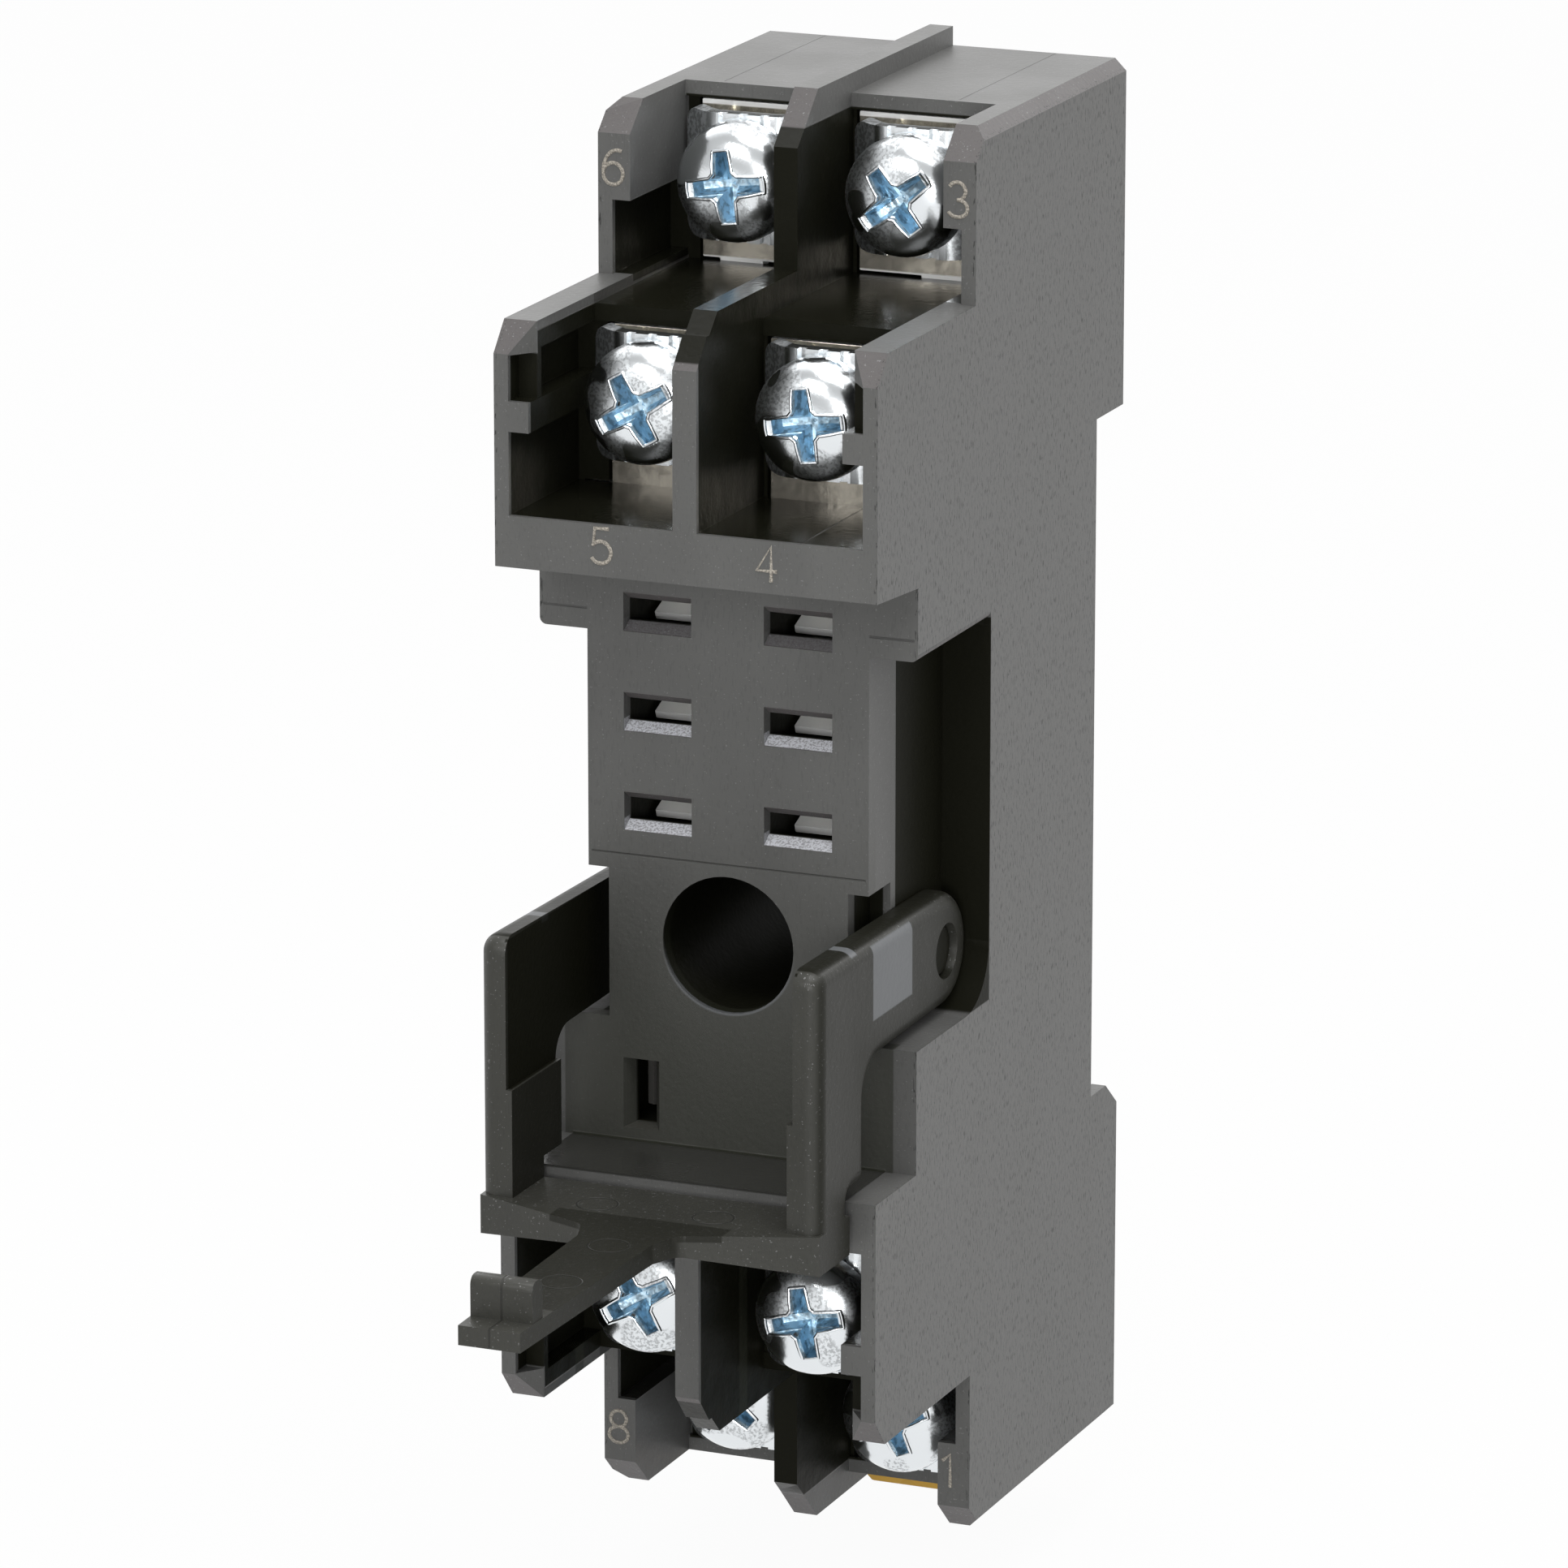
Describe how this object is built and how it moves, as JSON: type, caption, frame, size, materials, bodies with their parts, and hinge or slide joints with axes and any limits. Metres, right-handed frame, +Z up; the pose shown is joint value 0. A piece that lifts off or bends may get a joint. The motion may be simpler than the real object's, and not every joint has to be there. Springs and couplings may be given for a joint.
{
  "type": "relay socket",
  "caption": "Screw-terminal socket for a small plug-in relay, with stepped rows of clamp screws, contact slots, a hinged release lever and a sliding hook for a 35 mm rail.",
  "frame": {"origin": "middle of the rail seat, on the plane where the rail's face bears", "axes": "+Z up along the housing, +Y backward into the rail, -Y toward the relay, +X to the right seen from the front"},
  "size_m": [0.0198, 0.0558, 0.0766],
  "materials": {
    "housing_plastic": "satin moulded, dark grey",
    "lever_plastic": "fine matt grain, dark grey",
    "cover_plastic": "satin moulded, dark grey",
    "amber_plastic": "smooth moulded, amber",
    "terminal_metal": "nickel plated",
    "washer_steel": "bright zinc plated",
    "screw_steel": "bright zinc plated, bluish",
    "spring_steel": "drawn wire"
  },
  "bodies": {
    "base": {"housing": "housing_plastic", "rear_cover": "cover_plastic", "hook_spring": "spring_steel", "terminal_1": "terminal_metal", "terminal_2": "terminal_metal", "terminal_3": "terminal_metal", "terminal_4": "terminal_metal", "terminal_5": "terminal_metal", "terminal_6": "terminal_metal", "terminal_7": "terminal_metal", "terminal_8": "terminal_metal"},
    "lever": {"release_lever": "lever_plastic"},
    "hook": {"rail_hook": "amber_plastic"},
    "clamp_1": {"terminal_screw_1": "screw_steel", "clamp_washer_1": "washer_steel"},
    "clamp_2": {"terminal_screw_2": "screw_steel", "clamp_washer_2": "washer_steel"},
    "clamp_3": {"terminal_screw_3": "screw_steel", "clamp_washer_3": "washer_steel"},
    "clamp_4": {"terminal_screw_4": "screw_steel", "clamp_washer_4": "washer_steel"},
    "clamp_5": {"terminal_screw_5": "screw_steel", "clamp_washer_5": "washer_steel"},
    "clamp_6": {"terminal_screw_6": "screw_steel", "clamp_washer_6": "washer_steel"},
    "clamp_7": {"terminal_screw_7": "screw_steel", "clamp_washer_7": "washer_steel"},
    "clamp_8": {"terminal_screw_8": "screw_steel", "clamp_washer_8": "washer_steel"}
  },
  "joints": [
    {"name": "lever_hinge", "type": "hinge", "parent": "base", "child": "lever", "pos_m": [0, -0.01735, -0.00539], "axis": [-1, 0, 0], "range_deg": [0, 65]},
    {"name": "hook_slide", "type": "slide", "parent": "base", "child": "hook", "axis": [0, 0, -1], "range_m": [0, 0.0025], "stiffness_N_per_m": 800, "deforming": ["hook_spring"]},
    {"name": "clamp_1_lift", "type": "slide", "parent": "base", "child": "clamp_1", "axis": [0, -1, 0], "range_m": [0, 0.0025]},
    {"name": "clamp_2_lift", "type": "slide", "parent": "base", "child": "clamp_2", "axis": [0, -1, 0], "range_m": [0, 0.0025]},
    {"name": "clamp_3_lift", "type": "slide", "parent": "base", "child": "clamp_3", "axis": [0, -1, 0], "range_m": [0, 0.0025]},
    {"name": "clamp_4_lift", "type": "slide", "parent": "base", "child": "clamp_4", "axis": [0, -1, 0], "range_m": [0, 0.0025]},
    {"name": "clamp_5_lift", "type": "slide", "parent": "base", "child": "clamp_5", "axis": [0, -1, 0], "range_m": [0, 0.0025]},
    {"name": "clamp_6_lift", "type": "slide", "parent": "base", "child": "clamp_6", "axis": [0, -1, 0], "range_m": [0, 0.0025]},
    {"name": "clamp_7_lift", "type": "slide", "parent": "base", "child": "clamp_7", "axis": [0, -1, 0], "range_m": [0, 0.0025]},
    {"name": "clamp_8_lift", "type": "slide", "parent": "base", "child": "clamp_8", "axis": [0, -1, 0], "range_m": [0, 0.0025]}
  ]
}
